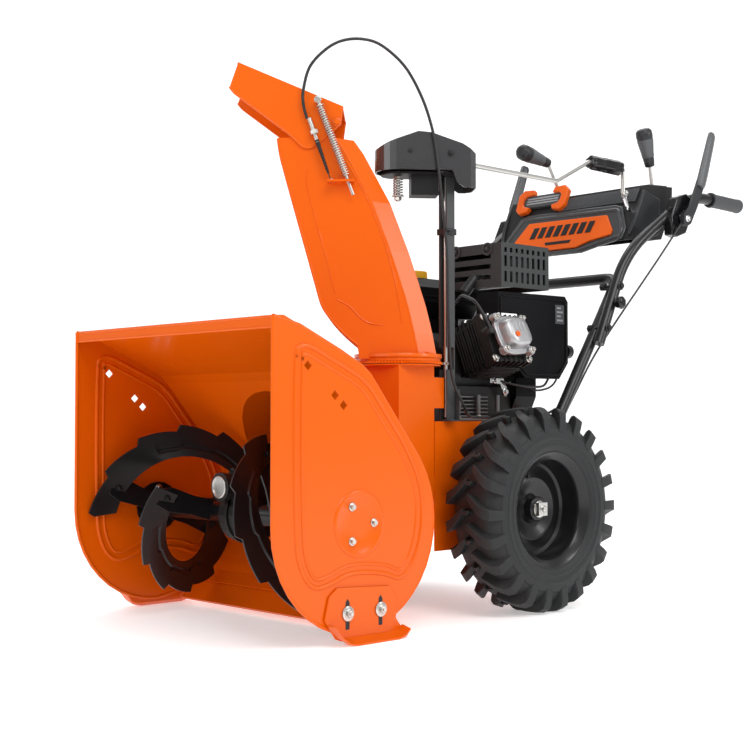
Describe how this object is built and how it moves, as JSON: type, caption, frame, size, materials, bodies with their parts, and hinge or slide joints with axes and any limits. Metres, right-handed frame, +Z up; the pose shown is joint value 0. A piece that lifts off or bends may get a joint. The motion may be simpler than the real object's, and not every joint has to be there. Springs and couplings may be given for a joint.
{
  "type": "snow blower",
  "caption": "Walk-behind two-stage snow blower with saw-toothed augers, a turning discharge chute with a tilting cap, a small petrol engine and a rear control console.",
  "frame": {"origin": "on the ground, under the middle of the machine's length and width", "axes": "+Z up, -Y to the front where the housing's mouth is, +X to the operator's left"},
  "size_m": [0.668, 1.482, 1.1217],
  "materials": {
    "orange_paint": "gloss powder coat",
    "black_steel": "satin black powder coat",
    "dark_alloy": "dark painted casting",
    "cast_alloy": "raw casting",
    "black_plastic": "moulded, slightly textured",
    "grey_plastic": "moulded, soft sheen",
    "grey_paint": "satin",
    "bare_steel": "zinc plated or machined",
    "rubber": "matte",
    "tyre_rubber": "matte",
    "bronze": "machined",
    "yellow_plastic": "moulded"
  },
  "bodies": {
    "chassis": {"housing_wrap": "orange_paint", "housing_side_left": "orange_paint", "housing_side_right": "orange_paint", "skid_shoe_left": "orange_paint", "skid_shoe_right": "orange_paint", "scraper_bar": "orange_paint", "impeller_drum": "orange_paint", "tractor_frame": "orange_paint", "auger_bearing_left": "black_steel", "auger_bearing_right": "black_steel", "head_bracket": "black_steel", "lower_handle": "black_steel", "upper_handle_left": "black_steel", "upper_handle_right": "black_steel", "gearcase": "dark_alloy", "engine_block": "dark_alloy", "differential": "cast_alloy", "valve_cover": "cast_alloy", "belt_cover": "black_plastic", "blower_housing": "black_plastic", "recoil_cover": "black_plastic", "heater_cover": "black_plastic", "fuel_tank": "black_plastic", "head_hood": "black_plastic", "dash_panel": "black_plastic", "grip_left": "grey_plastic", "grip_right": "grey_plastic", "muffler_guard": "grey_paint", "mast": "grey_paint", "auger_belt": "rubber", "chute_cable": "rubber"},
    "impeller": {"impeller_shaft": "bare_steel", "impeller": "black_steel", "impeller_pulley": "bare_steel"},
    "auger": {"auger_shaft": "bare_steel", "auger_left": "black_steel", "auger_right": "black_steel", "worm_wheel": "bronze"},
    "crankshaft": {"crankshaft": "bare_steel"},
    "wheel_left": {"axle_left": "bare_steel", "rim_left": "black_steel", "tyre_left": "tyre_rubber"},
    "wheel_right": {"axle_right": "bare_steel", "rim_right": "black_steel", "tyre_right": "tyre_rubber"},
    "chute": {"chute_body": "orange_paint", "chute_gear": "orange_paint"},
    "deflector": {"deflector": "orange_paint"},
    "spring_rod": {"guide_rod": "bare_steel", "return_spring": "bare_steel"},
    "chute_drive": {"drive_shaft": "bare_steel"},
    "crank": {"crank_rod": "bare_steel"},
    "crank_grip": {"crank_grip": "black_plastic"},
    "clutch_left": {"clutch_lever_left": "grey_plastic"},
    "clutch_right": {"clutch_lever_right": "grey_plastic"},
    "speed_lever": {"speed_lever": "grey_plastic"},
    "deflector_lever": {"deflector_lever": "grey_plastic"},
    "recoil_handle": {"recoil_handle": "black_plastic"},
    "choke_knob": {"choke_knob": "black_plastic"},
    "fuel_cap": {"fuel_cap": "yellow_plastic"}
  },
  "joints": [
    {"name": "impeller_spin", "type": "hinge", "parent": "chassis", "child": "impeller", "pos_m": [0, -0.317, 0.256], "axis": [0, 1, 0], "continuous": true},
    {"name": "auger_spin", "type": "hinge", "parent": "chassis", "child": "auger", "pos_m": [0, -0.552, 0.203], "axis": [1, 0, 0], "continuous": true},
    {"name": "crank_spin", "type": "hinge", "parent": "chassis", "child": "crankshaft", "pos_m": [0, -0.195, 0.483], "axis": [0, 1, 0], "continuous": true},
    {"name": "wheel_left_spin", "type": "hinge", "parent": "chassis", "child": "wheel_left", "pos_m": [0.273, -0.049, 0.203], "axis": [1, 0, 0], "continuous": true},
    {"name": "wheel_right_spin", "type": "hinge", "parent": "chassis", "child": "wheel_right", "pos_m": [-0.273, -0.049, 0.203], "axis": [1, 0, 0], "continuous": true},
    {"name": "chute_turn", "type": "hinge", "parent": "chassis", "child": "chute", "pos_m": [0.121, -0.276, 0.49], "axis": [0, 0, 1], "range_deg": [-28, 100], "deforming": ["chute_cable"]},
    {"name": "deflector_tilt", "type": "hinge", "parent": "chute", "child": "deflector", "pos_m": [0.0386, -0.3605, 0.955], "axis": [0.7157, -0.6984, 0], "range_deg": [0, 40], "deforming": ["chute_cable"]},
    {"name": "spring_rod_swing", "type": "hinge", "parent": "deflector", "child": "spring_rod", "pos_m": [0.0134, -0.3862, 0.996], "axis": [0.7157, -0.6984, 0], "range_deg": [-29, 0], "deforming": ["return_spring"]},
    {"name": "chute_drive_spin", "type": "hinge", "parent": "chassis", "child": "chute_drive", "pos_m": [0.17971, -0.20133, 0.6], "axis": [0, 0, 1], "range_deg": [-960, 270]},
    {"name": "crank_turn", "type": "hinge", "parent": "chassis", "child": "crank", "pos_m": [0.17971, -0.049, 0.896], "axis": [0, 1, 0], "range_deg": [-480, 136]},
    {"name": "crank_grip_spin", "type": "hinge", "parent": "crank", "child": "crank_grip", "pos_m": [0.17971, 0.321, 0.953], "axis": [0, 1, 0], "continuous": true},
    {"name": "clutch_left_pull", "type": "hinge", "parent": "chassis", "child": "clutch_left", "pos_m": [0.277, 0.487, 0.838], "axis": [-1, 0, 0], "range_deg": [0, 45], "stiffness_Nm_per_rad": 2, "springref_deg": -17.19},
    {"name": "clutch_right_pull", "type": "hinge", "parent": "chassis", "child": "clutch_right", "pos_m": [-0.277, 0.487, 0.838], "axis": [-1, 0, 0], "range_deg": [0, 45], "stiffness_Nm_per_rad": 2, "springref_deg": -17.19},
    {"name": "speed_lever_move", "type": "hinge", "parent": "chassis", "child": "speed_lever", "pos_m": [-0.062, 0.486, 0.86], "axis": [-1, 0, 0], "range_deg": [0, 40]},
    {"name": "deflector_lever_move", "type": "hinge", "parent": "chassis", "child": "deflector_lever", "pos_m": [0.175, 0.513, 0.86], "axis": [-1, 0, 0], "range_deg": [0, 24]},
    {"name": "recoil_pull", "type": "slide", "parent": "chassis", "child": "recoil_handle", "axis": [0, 1, 0], "range_m": [0, 0.45], "stiffness_N_per_m": 10, "springref_m": -0.5},
    {"name": "choke_turn", "type": "hinge", "parent": "chassis", "child": "choke_knob", "pos_m": [0.128, 0.241, 0.531], "axis": [0, 1, 0], "range_deg": [0, 90]},
    {"name": "fuel_cap_turn", "type": "hinge", "parent": "chassis", "child": "fuel_cap", "pos_m": [-0.082, -0.027, 0.7], "axis": [0, 0, 1], "range_deg": [0, 90]}
  ],
  "couplings": [
    {"joint": "auger_spin", "follows": "impeller_spin", "ratio": 0.1},
    {"joint": "chute_drive_spin", "follows": "chute_turn", "ratio": -9.5556},
    {"joint": "crank_turn", "follows": "chute_turn", "ratio": -4.7778},
    {"joint": "spring_rod_swing", "follows": "deflector_tilt", "ratio": -0.72},
    {"joint": "deflector_lever_move", "follows": "deflector_tilt", "ratio": 0.6}
  ]
}
